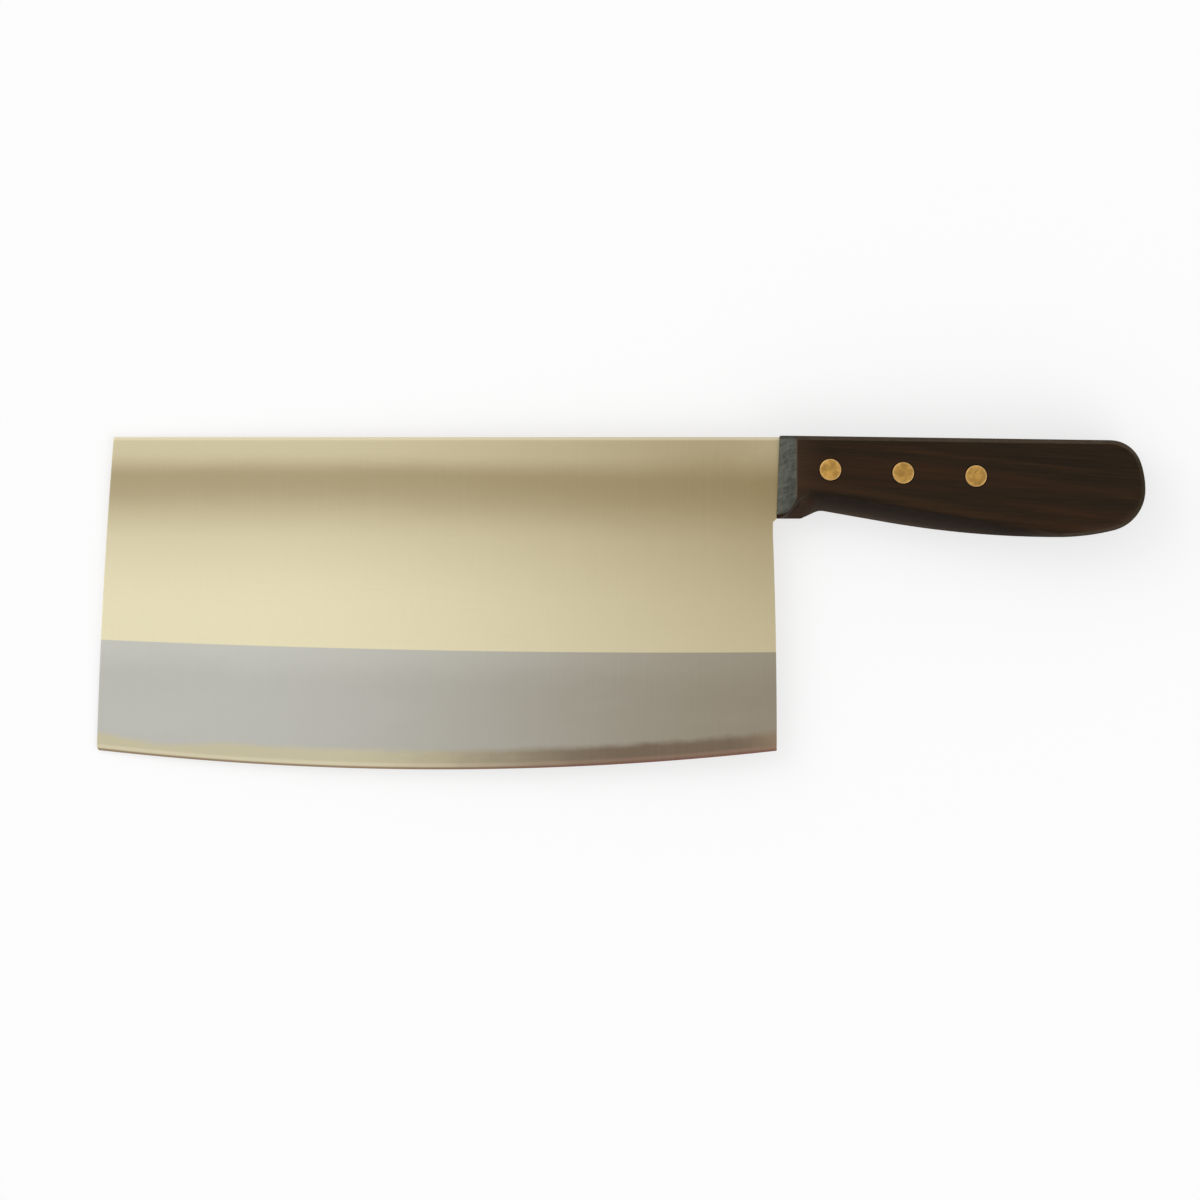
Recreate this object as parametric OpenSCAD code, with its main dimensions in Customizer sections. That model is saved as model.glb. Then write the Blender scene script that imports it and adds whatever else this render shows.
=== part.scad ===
// Chinese cleaver lying on its side: a thin rectangular slicing blade with a half tang,
// let into a slot in a one-piece hardwood handle and held by three two-part brass rivets.
// Design plane: X runs from nose to butt with 0 at the front of the handle,
// Y runs from the cutting edge to the spine with 0 at the spine, Z is the thickness
// with 0 at the middle of the steel. The finished part is moved so that its origin is
// the middle of its footprint, at the height of the handle's lower side.

/* [Blade] */
// Length of the cutting edge in a straight line from nose corner to heel corner
blade_len = 225; // [180:1:250]
// Distance from the spine to the heel corner
heel_h = 103.8; // [95:0.1:120]
// Distance from the spine to the nose corner
nose_h = 103.5; // [95:0.1:120]
// Outward bow of the cutting edge between its corners
edge_bow = 6.35; // [3:0.05:12]
// How much shorter the spine is than the edge at the nose
nose_lean = 5.6; // [0:0.1:15]
// Outward bow of the nose edge between its corners
nose_bow = 0.65; // [0.2:0.05:2]
// Outward bow of the heel edge between its corners
heel_bow = 0.4; // [0.2:0.05:2]
// How far the heel corner stands forward of the middle of the handle's front
heel_forward = 0.4; // [0:0.1:2]
// How much further forward the heel edge is at its top than at its corner
heel_lean = 1.45; // [0:0.05:4]
// Distance from the spine to the heel edge's top
heel_top_h = 28.1; // [26:0.1:32]
// Length of the bevel that takes off the corner of nose and spine
nose_corner = 0.9; // [0.3:0.1:4]

/* [Steel section] */
// Thickness of the steel at the spine, over the flats and in the tang
steel_t = 2; // [1.5:0.1:3]
// Width of the small bevels that ease the spine's two arrises
spine_ease = 0.25; // [0.1:0.05:0.5]
// Distance from the spine to the grind line at the nose
grind_nose_h = 66.9; // [50:0.1:75]
// Distance from the spine to the grind line at the heel
grind_heel_h = 71.1; // [50:0.1:75]
// Sag of the grind line towards the edge between nose and heel
grind_sag = 1.5; // [0.5:0.1:4]
// Slope of each ground side, in degrees from the flat
grind_angle = 1; // [0.6:0.05:1.1]
// Slope of each side of the edge bevel, in degrees from the flat
bevel_angle = 2.4; // [1.5:0.1:4]
// Height of the sharpened bevel above the edge
micro_h = 0.7; // [0.3:0.1:1.5]
// Slope of each side of the sharpened bevel, in degrees from the flat
micro_angle = 11; // [6:0.5:18]
// Thickness left at the edge itself
edge_t = 0.08; // [0.05:0.01:0.2]

/* [Tang] */
// Distance from the spine end of the handle's front to the end of the tang
tang_len = 76; // [72:1:90]
// Distance from the spine to the tang's lower side
tang_h = 21.5; // [18:0.1:23]
// Length of the bevel that takes off each of the tang's end corners
tang_corner = 4; // [1:0.5:6]

/* [Handle outline] */
// Distance from the spine end of the handle's front to the butt
handle_len = 121; // [105:1:140]
// Distance from the spine to the handle's lowest point
handle_drop = 33.1; // [31:0.1:40]
// How far the handle's top stands above the steel
top_rise = 0.5; // [0.1:0.1:1]
// Fall of the handle's top towards the butt, in degrees
top_fall = 0.8; // [0:0.1:2]
// Forward lean of the handle's front from spine to beak
front_lean = 1; // [0:0.1:2]
// Distance from the spine to the underside of the beak
beak_drop = 27; // [24:0.1:29]
// Length of the beak's flat underside
beak_len = 8; // [5:0.1:10]
// Slope of the beak's back, in degrees
beak_slope = 24.7; // [15:0.1:40]
// Radius of the hollow between the beak and the grip
hollow_r = 8; // [4:0.5:14]
// Radius of the butt's upper corner
butt_top_r = 10.8; // [8:0.1:12]
// Turn of the butt's upper corner, in degrees
butt_top_turn = 70; // [60:1:75]
// Radius of the butt's end
butt_end_r = 28; // [20:1:34]
// Radius of the palm swell behind the handle's lowest point
palm_r = 75; // [40:1:120]
// Turn of the palm swell behind the handle's lowest point, in degrees
palm_turn = 14; // [8:1:18]
// Radius of the grip's long lower curve
grip_r = 333; // [280:1:400]
// Turn of the grip's long lower curve, in degrees
grip_turn = 10; // [8:0.5:12]

/* [Handle section] */
// Thickness of the handle
handle_t = 20; // [16:0.5:24]
// Slope of the bevels at the handle's front and underside, in degrees
wood_bevel_angle = 51; // [40:1:55]
// Length of the bevel at the handle's front
front_bevel_len = 6.15; // [4:0.05:7]
// Height of the bevel on the beak's underside
beak_bevel_h = 6.6; // [5:0.1:7]
// Height of the underside bevel at the hollow
grip_bevel_h = 6; // [4:0.1:7]
// Height of the underside bevel at the handle's lowest point
palm_bevel_h = 0.9; // [0.5:0.1:3]
// Width of the bevel that eases the handle's top and butt
rim_ease = 1.2; // [0.5:0.1:2]

/* [Rivets] */
// Distance from the spine end of the handle's front to the first rivet
rivet_first_x = 17.3; // [15:0.1:19]
// Distance from one rivet to the next
rivet_pitch = 24.1; // [20:0.1:25]
// Distance from the spine to the first rivet
rivet_first_h = 10.8; // [9:0.1:12]
// Fall of the row of rivets towards the butt, in degrees
rivet_fall = 2.5; // [0:0.1:3]
// Diameter of a rivet head
head_d = 7.3; // [6.5:0.1:9]
// Thickness of a rivet head
head_h = 1.8; // [1.2:0.1:2.5]
// Outer diameter of a rivet's tube
tube_d = 5; // [4:0.1:6]
// Diameter of a rivet's post
post_d = 3.4; // [2.5:0.1:3.6]
// Space left between the end of a tube and the head of its post
tube_short = 0.4; // [0.2:0.1:1]
// Space left between the end of a post and the bottom of its tube
post_short = 0.6; // [0.3:0.1:1.5]

/* [Clearances] */
// Gap between the tang and each wall of its slot
slot_gap = 0.05; // [0.03:0.01:0.3]
// Gap round a rivet head or tube in the wood
wood_gap = 0.05; // [0.02:0.01:0.2]
// Gap round a rivet tube in the tang
tang_gap = 0.1; // [0.05:0.01:0.3]
// Gap round a post in its tube
press_gap = 0.01; // [0.01:0.01:0.05]

/* [Hidden] */

// Facets of the widest discs and of bores
disc_fn = 1024;
bore_fn = 64;
// Greatest bow left between the handle's outline and its facets
arc_bow = 0.01;
// Length by which a cut runs past the surface that it leaves through
over = 2;
// Length by which a ring-shaped cut runs past the ends of its arc
ring_over = 30;
// Length by which a rim's bevel runs past the ends of its wall
rim_over = 0.5;
rivets = [0, 1, 2];

steel_half = steel_t / 2;
handle_half = handle_t / 2;

// Radius of an arc from its chord and its bow
function bow_radius(chord, bow) = chord * chord / (8 * bow) + bow / 2;
// Centre of the arc that bows out by the given amount on the left of the line from a to b
function bow_centre(a, b, bow) = (a + b) / 2
    + (bow_radius(norm(b - a), bow) - bow) * [b.y - a.y, a.x - b.x] / norm(b - a);
// Direction out of the outline, where the outline runs clockwise at the given heading.
// A heading is in degrees, and 0 points from nose to butt.
function out_of(heading) = [-sin(heading), cos(heading)];
// End of an arc of radius r that starts at p and turns clockwise between two headings
function arc_end(p, from, to, r) = p + r * (out_of(to) - out_of(from));
// Points along such an arc after its start. One that turns anticlockwise has its radius
// below 0.
function arc_points(p, from, to, r) = let(
        n = ceil(abs(to - from) / (2 * acos(1 - arc_bow / abs(r))))
    ) [for (k = [1:n]) arc_end(p, from, from + (to - from) * k / n, r)];

// Corners of the blade
heel = [-heel_forward, -heel_h];
nose = [heel.x - blade_len, -nose_h];
heel_top = [heel.x - heel_lean, -heel_top_h];
nose_top = [nose.x + nose_lean, 0];

// Depth of the cutting edge at its lowest point
blade_h = bow_radius(norm(heel - nose), edge_bow) - bow_centre(heel, nose, edge_bow).y;

// Ends of the grind line
grind_heel = [heel.x, -grind_heel_h];
grind_nose = [nose_top.x - nose_lean * grind_nose_h / nose_h, -grind_nose_h];

// Corners of the handle, clockwise from the top of its front
front_top = [front_lean / 2, top_rise];
front_foot = [-front_lean / 2, -beak_drop];
beak_foot = [front_foot.x + beak_len, -beak_drop];
butt_x = front_top.x + handle_len;
top_heading = -top_fall;
corner_heading = top_heading - butt_top_turn;
butt_heading = -90;
palm_heading = palm_turn - 180;
low_heading = -180;
grip_heading = -180 - grip_turn;
butt_reach = arc_end(arc_end([0, 0], top_heading, corner_heading, butt_top_r),
                     corner_heading, butt_heading, butt_end_r).x;
// Height of the handle's top line at x
function top_at(x) = top_rise - (x - front_top.x) * tan(top_fall);
top_end = [butt_x - butt_reach, top_at(butt_x - butt_reach)];
butt_corner = arc_end(top_end, top_heading, corner_heading, butt_top_r);
butt_end = arc_end(butt_corner, corner_heading, butt_heading, butt_end_r);
// The butt's lower corner takes up the depth that the palm swell leaves
butt_low_r = (butt_end.y + handle_drop - palm_r * (1 + cos(palm_heading))) / -cos(palm_heading);
palm_start = arc_end(butt_end, butt_heading, palm_heading, butt_low_r);
palm_low = arc_end(palm_start, palm_heading, low_heading, palm_r);
grip_end = arc_end(palm_low, low_heading, grip_heading, grip_r);

// Hollow where the beak's back meets the straight line that runs on from the grip
hollow_x = (beak_foot.x * tan(beak_slope) + grip_end.x * tan(grip_turn)
            + grip_end.y - beak_foot.y) / (tan(beak_slope) + tan(grip_turn));
hollow = [hollow_x, beak_foot.y + (hollow_x - beak_foot.x) * tan(beak_slope)];
hollow_reach = hollow_r * tan((beak_slope + grip_turn) / 2);
hollow_back = hollow + hollow_reach * [cos(grip_turn), -sin(grip_turn)];

// Outline of the handle, clockwise: its top, butt and palm, then its grip, hollow and beak
upper_points = concat(
    [front_top, top_end],
    arc_points(top_end, top_heading, corner_heading, butt_top_r),
    arc_points(butt_corner, corner_heading, butt_heading, butt_end_r),
    arc_points(butt_end, butt_heading, palm_heading, butt_low_r),
    arc_points(palm_start, palm_heading, low_heading, palm_r));
lower_points = concat(
    arc_points(palm_low, low_heading, grip_heading, grip_r),
    [hollow_back],
    arc_points(hollow_back, grip_heading, beak_slope - 180, -hollow_r),
    [beak_foot, front_foot]);

// Line in the handle's side where the grip's underside bevel starts
bevel_front = hollow + [0, grip_bevel_h];
bevel_back = palm_low + [0, palm_bevel_h];
bevel_fall = atan2(bevel_front.y - bevel_back.y, bevel_back.x - bevel_front.x);

// Middle of the footprint
middle = [(nose.x + butt_x) / 2, (top_rise - blade_h) / 2];

function rivet_at(i) = [rivet_first_x + i * rivet_pitch,
                        -rivet_first_h - i * rivet_pitch * tan(rivet_fall)];

// Disc whose rim bows out on the left of the line from a to b
module bowed_disc(a, b, bow) {
    translate(bow_centre(a, b, bow)) circle(r = bow_radius(norm(b - a), bow), $fn = disc_fn);
}

// Corners of the tang behind the handle's front, clockwise, with every side but the top
// grown by a gap and the top raised by rise. The last is where the notch between the heel
// and the tang, which rises at 45 degrees, meets the tang's lower side.
function tang_points(gap, rise) = let(
        low = -tang_h - gap,
        end = front_top.x + tang_len + gap,
        corner_top = top_at(end - tang_corner) - top_rise + rise
    ) [
        [end - tang_corner, corner_top],
        [end, corner_top - tang_corner],
        [end, low + tang_corner],
        [end - tang_corner, low],
        [heel_top.x + low - notch_foot(gap).y, low]
    ];
// Foot of the notch, on the heel's line
function notch_foot(gap) = [heel_top.x, heel_top.y - gap * sqrt(2)];

module blade_outline() {
    tang = tang_points(0, 0);
    notch = tang[len(tang) - 1];
    bottom = -blade_h - over;
    difference() {
        intersection() {
            polygon(concat(
                [nose_top + [nose_corner, 0], [front_top.x, 0]],
                tang,
                [[notch.x, bottom], [nose.x - over, bottom],
                 [nose_top.x - over, -nose_corner - over]]));
            bowed_disc(heel, nose, edge_bow);
            bowed_disc(nose, nose_top, nose_bow);
        }
        difference() {
            polygon([heel_top - [over, over], notch, notch + [over, -over],
                     [notch.x + over, bottom - over], [heel_top.x - over, bottom - over]]);
            bowed_disc(heel_top, heel, heel_bow);
        }
    }
}

// Ring-shaped cut over the blade's upper side, along the arc that bows out on the left of
// the line from a to b. Its section is measured outward from the arc and upward from the
// middle of the steel.
module ring_cut(a, b, bow, section) {
    r = bow_radius(norm(b - a), bow);
    centre = bow_centre(a, b, bow);
    aim = (a + b) / 2 - centre;
    span = 2 * asin((norm(b - a) / 2 + ring_over) / r);
    translate(centre) rotate(atan2(aim.y, aim.x) - span / 2)
        rotate_extrude(angle = span, $fn = disc_fn) translate([r, 0]) polygon(section);
}

// Thins the steel below the grind line
module grind_cut() {
    reach = 1.5 * (blade_h - grind_nose_h);
    ring_cut(grind_heel, grind_nose, grind_sag, [
        [-over, steel_half + over * tan(grind_angle)],
        [reach, steel_half - reach * tan(grind_angle)],
        [reach, steel_half + over],
        [-over, steel_half + over]
    ]);
}

// Bevels the steel at the edge and sharpens it
module edge_cut() {
    micro_half = edge_t / 2 + micro_h * tan(micro_angle);
    reach = steel_t / tan(bevel_angle);
    ring_cut(heel, nose, edge_bow, [
        [over, edge_t / 2 - over * tan(micro_angle)],
        [over, steel_half + over],
        [-micro_h - reach, steel_half + over],
        [-micro_h - reach, micro_half + reach * tan(bevel_angle)],
        [-micro_h, micro_half]
    ]);
}

// Eases the spine's arris
module spine_cut() {
    translate([nose.x, 0, steel_half]) rotate([90, 0, 90]) linear_extrude(front_top.x - nose.x)
        polygon([[-spine_ease - over, over], [over, -spine_ease - over], [over, over]]);
}

module blade() {
    color([0.80, 0.76, 0.64]) difference() {
        translate([0, 0, -steel_half]) linear_extrude(steel_t) blade_outline();
        for (side = [0, 1]) mirror([0, 0, side]) {
            grind_cut();
            edge_cut();
            spine_cut();
        }
        for (i = rivets) translate([rivet_at(i).x, rivet_at(i).y, -steel_t])
            cylinder(d = tube_d + 2 * tang_gap, h = 2 * steel_t, $fn = bore_fn);
    }
}

// Eases both rims of the handle's wall from a to b, where its outline runs clockwise
module rim_cut(a, b) {
    section = [[-rim_ease - over, over], [over, -rim_ease - over], [over, over]];
    for (side = [0, 1]) mirror([0, 0, side])
        translate([a.x, a.y, handle_half]) rotate(atan2(b.y - a.y, b.x - a.x))
            translate([-rim_over, 0, 0]) rotate([90, 0, 90])
                linear_extrude(norm(b - a) + 2 * rim_over) polygon(section);
}

// Everything beyond a sloping plane that leaves the handle's upper side along a line
// through p at the given heading, on the line's right
module bevel_beyond(p, heading) {
    rise = tan(wood_bevel_angle);
    depth = handle_half - steel_half;
    translate([p.x, p.y, handle_half]) rotate(heading) translate([-handle_len, 0, 0])
        rotate([90, 0, 90]) linear_extrude(2 * handle_len)
            polygon([[over / rise, over], [-depth / rise, -depth],
                     [-handle_len, -depth], [-handle_len, over]]);
}

// Bevels of the upper side's front and underside. Round the beak, of the beak's and the
// grip's own bevels the shallower is what is left.
module wood_bevels() {
    bevel_beyond([front_bevel_len, 0], -90);
    intersection() {
        union() {
            bevel_beyond(beak_foot + [0, beak_bevel_h], 0);
            bevel_beyond(beak_foot + beak_bevel_h * out_of(beak_slope), beak_slope);
        }
        bevel_beyond(bevel_front, -bevel_fall);
    }
}

module handle() {
    // The bevel of the underside takes over from the eased rim within the grip's first facet
    rim = concat(upper_points, [lower_points[0]]);
    color([0.24, 0.17, 0.13]) difference() {
        translate([0, 0, -handle_half]) linear_extrude(handle_t)
            polygon(concat(upper_points, lower_points));
        for (k = [1 : len(rim) - 1]) rim_cut(rim[k - 1], rim[k]);
        for (side = [0, 1]) mirror([0, 0, side]) wood_bevels();
        translate([0, 0, -steel_half - slot_gap]) linear_extrude(steel_t + 2 * slot_gap)
            polygon(concat([[heel_top.x, over]], tang_points(slot_gap, over),
                           [notch_foot(slot_gap)]));
        for (i = rivets) translate([rivet_at(i).x, rivet_at(i).y, 0]) {
            cylinder(d = tube_d + 2 * wood_gap, h = 2 * handle_t, center = true, $fn = bore_fn);
            for (side = [0, 1]) mirror([0, 0, side]) translate([0, 0, handle_half - head_h])
                cylinder(d = head_d + 2 * wood_gap, h = head_h + over, $fn = bore_fn);
        }
    }
}

// Head with a tube that reaches down through wood and tang
module rivet_tube(i) {
    tube_foot = head_h + tube_short - handle_half;
    color([0.80, 0.62, 0.32]) translate([rivet_at(i).x, rivet_at(i).y, 0]) difference() {
        union() {
            translate([0, 0, handle_half - head_h]) cylinder(d = head_d, h = head_h, $fn = bore_fn);
            translate([0, 0, tube_foot])
                cylinder(d = tube_d, h = handle_half - head_h / 2 - tube_foot, $fn = bore_fn);
        }
        translate([0, 0, -handle_half])
            cylinder(d = post_d + 2 * press_gap, h = handle_t - head_h, $fn = bore_fn);
    }
}

// Head with a post that is pressed up into the tube
module rivet_post(i) {
    color([0.76, 0.58, 0.29]) translate([rivet_at(i).x, rivet_at(i).y, -handle_half]) {
        cylinder(d = head_d, h = head_h, $fn = bore_fn);
        cylinder(d = post_d, h = handle_t - head_h - post_short, $fn = bore_fn);
    }
}

// Moves the design plane to the finished part's frame
module placed() {
    translate([-middle.x, -middle.y, handle_half]) children();
}

placed() blade();
placed() handle();
placed() rivet_tube(0);  // front_rivet_tube
placed() rivet_post(0);  // front_rivet_post
placed() rivet_tube(1);  // middle_rivet_tube
placed() rivet_post(1);  // middle_rivet_post
placed() rivet_tube(2);  // rear_rivet_tube
placed() rivet_post(2);  // rear_rivet_post
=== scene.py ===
import math

import bmesh
import bpy
import numpy as np
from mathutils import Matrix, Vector


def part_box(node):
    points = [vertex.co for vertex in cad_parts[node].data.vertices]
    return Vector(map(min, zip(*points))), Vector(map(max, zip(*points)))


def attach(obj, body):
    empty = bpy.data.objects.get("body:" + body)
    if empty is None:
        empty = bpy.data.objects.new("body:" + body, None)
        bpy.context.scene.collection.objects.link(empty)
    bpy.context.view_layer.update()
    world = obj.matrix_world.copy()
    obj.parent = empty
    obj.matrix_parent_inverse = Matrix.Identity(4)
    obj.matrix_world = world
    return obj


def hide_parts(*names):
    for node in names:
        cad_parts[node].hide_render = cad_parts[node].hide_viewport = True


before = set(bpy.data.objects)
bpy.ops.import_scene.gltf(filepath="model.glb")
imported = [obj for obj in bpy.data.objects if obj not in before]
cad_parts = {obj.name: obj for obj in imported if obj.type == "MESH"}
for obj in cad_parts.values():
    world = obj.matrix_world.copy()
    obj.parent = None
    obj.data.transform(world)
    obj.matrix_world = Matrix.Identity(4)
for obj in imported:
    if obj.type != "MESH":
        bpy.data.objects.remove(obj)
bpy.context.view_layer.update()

# Lengths are worked out in millimetres in the cleaver's own plane, as in the part's
# drawing: X runs from nose to butt with 0 at the handle's front, Y from the cutting edge
# to the spine with 0 at the spine, and Z is 0 at the middle of the steel.
METRES = 0.001
FRONT_LEAN = 1.0
TOP_RISE = 0.5
handle_low, handle_high = (np.array(corner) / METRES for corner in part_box("handle"))
blade_low, blade_high = (np.array(corner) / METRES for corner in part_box("blade"))
HANDLE_HALF = (handle_high[2] - handle_low[2]) / 2
STEEL_HALF = (blade_high[2] - blade_low[2]) / 2
ORIGIN = np.array([handle_low[0] + FRONT_LEAN / 2, handle_high[1] - TOP_RISE,
                   handle_low[2] + HANDLE_HALF])


# Geometry helpers

def heading(degrees):
    """Unit vectors at these angles, counted anticlockwise from +X."""
    turn = np.radians(degrees)
    return np.stack([np.cos(turn), np.sin(turn)], axis=-1)


def line(a, b, count):
    """count points from a, which is left out, to b, evenly spaced."""
    along = np.linspace(0, 1, count + 1)[1:, None]
    return np.asarray(a) + along * (np.asarray(b) - np.asarray(a))


def arc(start, first, last, radius, count):
    """Points after start on an arc that turns from heading first to heading last: start
    plus radius times the change of the outward normal. A radius below 0 turns the other
    way."""
    turns = np.linspace(first, last, count + 1)[1:]
    return np.asarray(start) + radius * (heading(turns + 90) - heading(first + 90))


def arc_end(start, first, last, radius):
    """The last point of such an arc."""
    return arc(start, first, last, radius, 1)[0]


def bowed(a, b, bow, values, axis):
    """The other coordinate of the circular arc from a to b that bows out on the left by
    bow, at the given values of coordinate axis."""
    a, b = np.asarray(a, float), np.asarray(b, float)
    chord = np.linalg.norm(b - a)
    radius = chord ** 2 / (8 * bow) + bow / 2
    left = np.array([a[1] - b[1], b[0] - a[0]]) / chord
    centre = (a + b) / 2 - (radius - bow) * left
    reach = np.sqrt(np.maximum(radius ** 2 - (values - centre[axis]) ** 2, 0))
    return centre[1 - axis] + np.sign(left[1 - axis]) * reach


def eased(loop, window):
    """A closed loop whose points are each the mean of the window points about it, taken
    twice, which rounds its corners."""
    shifts = range(-(window // 2), window // 2 + 1)
    for _ in range(2):
        loop = sum(np.roll(loop, shift, axis=0) for shift in shifts) / len(shifts)
    return loop


def outward(loop):
    """Unit normals on the left of a clockwise closed loop, from each point's neighbours."""
    along = np.roll(loop, -1, axis=0) - np.roll(loop, 1, axis=0)
    normal = np.stack([-along[:, 1], along[:, 0]], axis=1)
    return normal / np.linalg.norm(normal, axis=1, keepdims=True)


def rounded(start, corner, end, count):
    """Points on the quadratic curve from start to end that the corner draws out."""
    t = np.linspace(0, 1, count)[:, None, None]
    return (1 - t) ** 2 * start + 2 * t * (1 - t) * corner + t ** 2 * end


def grid_faces(rows, columns, closed=False, first=0):
    """Quads of a grid of vertices numbered row by row from first. In a closed grid each
    row ends where it starts."""
    i = np.arange(rows - 1)[:, None]
    j = np.arange(columns if closed else columns - 1)[None, :]
    below, right = i + 1, (j + 1) % columns
    corners = [i * columns + j, i * columns + right, below * columns + right,
               below * columns + j]
    return first + np.stack([np.broadcast_to(corner, (len(i), j.size)) for corner in corners],
                            axis=-1).reshape(-1, 4)


def mesh_of(name, points, faces):
    """A mesh in metres in the row's frame from points in the cleaver's own plane."""
    mesh = bpy.data.meshes.new(name)
    mesh.from_pydata(((points + ORIGIN) * METRES).tolist(), [], faces)
    mesh.validate()
    return mesh


def piece_of(name, mesh, material=None):
    """An object at the origin that holds the mesh."""
    piece = bpy.data.objects.new(name, mesh)
    bpy.context.scene.collection.objects.link(piece)
    if material:
        mesh.materials.append(material)
    return piece


def merged(mesh, distance=0.001):
    """Joins the mesh's doubles, drops points of no face and turns its faces outwards."""
    work = bmesh.new()
    work.from_mesh(mesh)
    bmesh.ops.remove_doubles(work, verts=work.verts, dist=distance * METRES)
    loose = [vert for vert in work.verts if not vert.link_faces]
    bmesh.ops.delete(work, geom=loose, context="VERTS")
    bmesh.ops.recalc_face_normals(work, faces=work.faces)
    work.to_mesh(mesh)
    work.free()


def cut(piece, *cutters):
    """Takes the cutters' solids out of the piece and applies the result to its mesh."""
    for cutter in cutters:
        step = piece.modifiers.new(cutter.name, "BOOLEAN")
        step.operation, step.solver, step.object = "DIFFERENCE", "EXACT", cutter
    bpy.context.view_layer.update()
    shaped = piece.evaluated_get(bpy.context.evaluated_depsgraph_get())
    mesh = bpy.data.meshes.new_from_object(shaped)
    piece.modifiers.clear()
    piece.data = mesh
    for cutter in cutters:
        bpy.data.objects.remove(cutter)


def shade(piece, degrees=30):
    """Smooth shading, with the arrises that turn by more than this kept sharp."""
    piece.data.shade_smooth()
    piece.data.set_sharp_from_angle(angle=math.radians(degrees))


def revolved(name, centre, profile, count=64):
    """A closed body of revolution: the profile's radii and heights turned about a line
    along Z through centre. It starts and ends on the line."""
    turns = np.linspace(0, 2 * np.pi, count, endpoint=False)
    radius, height = np.asarray(profile, float).T
    points = np.stack([centre[0] + np.outer(radius, np.cos(turns)),
                       centre[1] + np.outer(radius, np.sin(turns)),
                       np.outer(height, np.ones(count))], axis=-1).reshape(-1, 3)
    mesh = mesh_of(name, points, grid_faces(len(profile), count, closed=True).tolist())
    merged(mesh)
    return mesh


# Shader helpers

def tone(red, green, blue):
    """A colour as it shows on screen, in steps of 255, as the shader's linear values."""
    shown = np.array([red, green, blue]) / 255
    linear = np.where(shown <= 0.04045, shown / 12.92, ((shown + 0.055) / 1.055) ** 2.4)
    return (*linear.tolist(), 1.0)


class Link:
    """A node's output. Arithmetic on it adds Math nodes."""

    def __init__(self, paint, socket):
        self.paint, self.socket = paint, socket

    def __add__(self, other):
        return self.paint.maths("ADD", self, other)

    def __sub__(self, other):
        return self.paint.maths("SUBTRACT", self, other)

    def __rsub__(self, other):
        return self.paint.maths("SUBTRACT", other, self)

    def __mul__(self, other):
        return self.paint.maths("MULTIPLY", self, other)

    def __truediv__(self, other):
        return self.paint.maths("DIVIDE", self, other)

    def __neg__(self):
        return self * -1

    def __abs__(self):
        return self.paint.maths("ABSOLUTE", self)

    __radd__ = __add__
    __rmul__ = __mul__


class Paint:
    """The nodes of one material or of the world."""

    def __init__(self, owner):
        owner.use_nodes = True
        self.tree = owner.node_tree
        self.tree.nodes.clear()

    def node(self, kind, settings=None, inputs=None, output=0):
        """Adds a node: its settings first, then its sockets' values or links. Gives the
        output of that number or name."""
        made = self.tree.nodes.new("ShaderNode" + kind)
        for key, value in (settings or {}).items():
            setattr(made, key, value)
        for key, value in (inputs or {}).items():
            if isinstance(value, Link):
                self.tree.links.new(value.socket, made.inputs[key])
            else:
                made.inputs[key].default_value = value
        return Link(self, made.outputs[output]) if len(made.outputs) else None

    def maths(self, operation, *values):
        """A Math node on these numbers or links."""
        return self.node("Math", {"operation": operation}, dict(enumerate(values)))

    def mix(self, mask, first, second):
        """The first colour where the mask is 0 and the second where it is 1."""
        settings = {"data_type": "RGBA", "clamp_factor": True}
        return self.node("Mix", settings, {0: mask, 6: first, 7: second}, 2)

    def step(self, value, low, high):
        """0 up to low, 1 from high, and a smooth rise between. low may be above high."""
        inputs = {"Value": value, "From Min": low, "From Max": high}
        return self.node("MapRange", {"interpolation_type": "SMOOTHSTEP"}, inputs)

    def bell(self, value, middle, reach):
        """1 where value is middle, falling smoothly to 0 at reach on either side."""
        return 1 - self.step(abs(value - middle), 0, reach)

    def place(self, turn=0):
        """Position in millimetres in the cleaver's own plane, turned in degrees."""
        where = self.node("TexCoord", output="Object")
        moved = self.node("Mapping", {}, {
            "Vector": where, "Scale": (1 / METRES,) * 3, "Location": tuple(-ORIGIN)})
        return moved if not turn else self.node(
            "Mapping", {}, {"Vector": moved, "Rotation": (0, 0, math.radians(turn))})

    def parts(self, vector):
        """The vector's three numbers."""
        return [self.node("SeparateXYZ", {}, {"Vector": vector}, axis) for axis in range(3)]

    def apart(self, place, point):
        """Distance in the cleaver's plane between the place and a point."""
        flat = self.node("VectorMath", {"operation": "MULTIPLY"}, {0: place, 1: (1, 1, 0)})
        return self.node("VectorMath", {"operation": "DISTANCE"}, {
            0: flat, 1: (*point, 0)}, "Value")

    def noise(self, place, sizes, detail=4, roughness=0.55, distortion=0.0):
        """Noise from 0 to 1 whose patches are about as long as sizes, in millimetres."""
        scaled = self.node("Mapping", {}, {
            "Vector": place, "Scale": tuple(1 / size for size in sizes)})
        return self.node("TexNoise", {}, {
            "Vector": scaled, "Scale": 1.0, "Detail": detail, "Roughness": roughness,
            "Distortion": distortion})

    def bump(self, height, depth):
        """A normal from a height between 0 and 1 that stands for depth millimetres."""
        return self.node("Bump", {}, {
            "Height": height, "Distance": depth * METRES, "Strength": 1.0})

    def seen(self):
        """1 for what the camera sees, straight or in a mirror or through glass, and 0
        for what lights a matt surface."""
        straight, mirrored, through = (
            self.node("LightPath", output=f"Is {kind} Ray")
            for kind in ("Camera", "Glossy", "Transmission"))
        return self.maths("MINIMUM", straight + mirrored + through, 1.0)

    def finish(self, **inputs):
        """A Principled shader with these sockets, as the material's surface."""
        named = {key.replace("_", " "): value for key, value in inputs.items()}
        surface = self.node("BsdfPrincipled", {}, named)
        self.node("OutputMaterial", {}, {"Surface": surface})


# Blade

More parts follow.
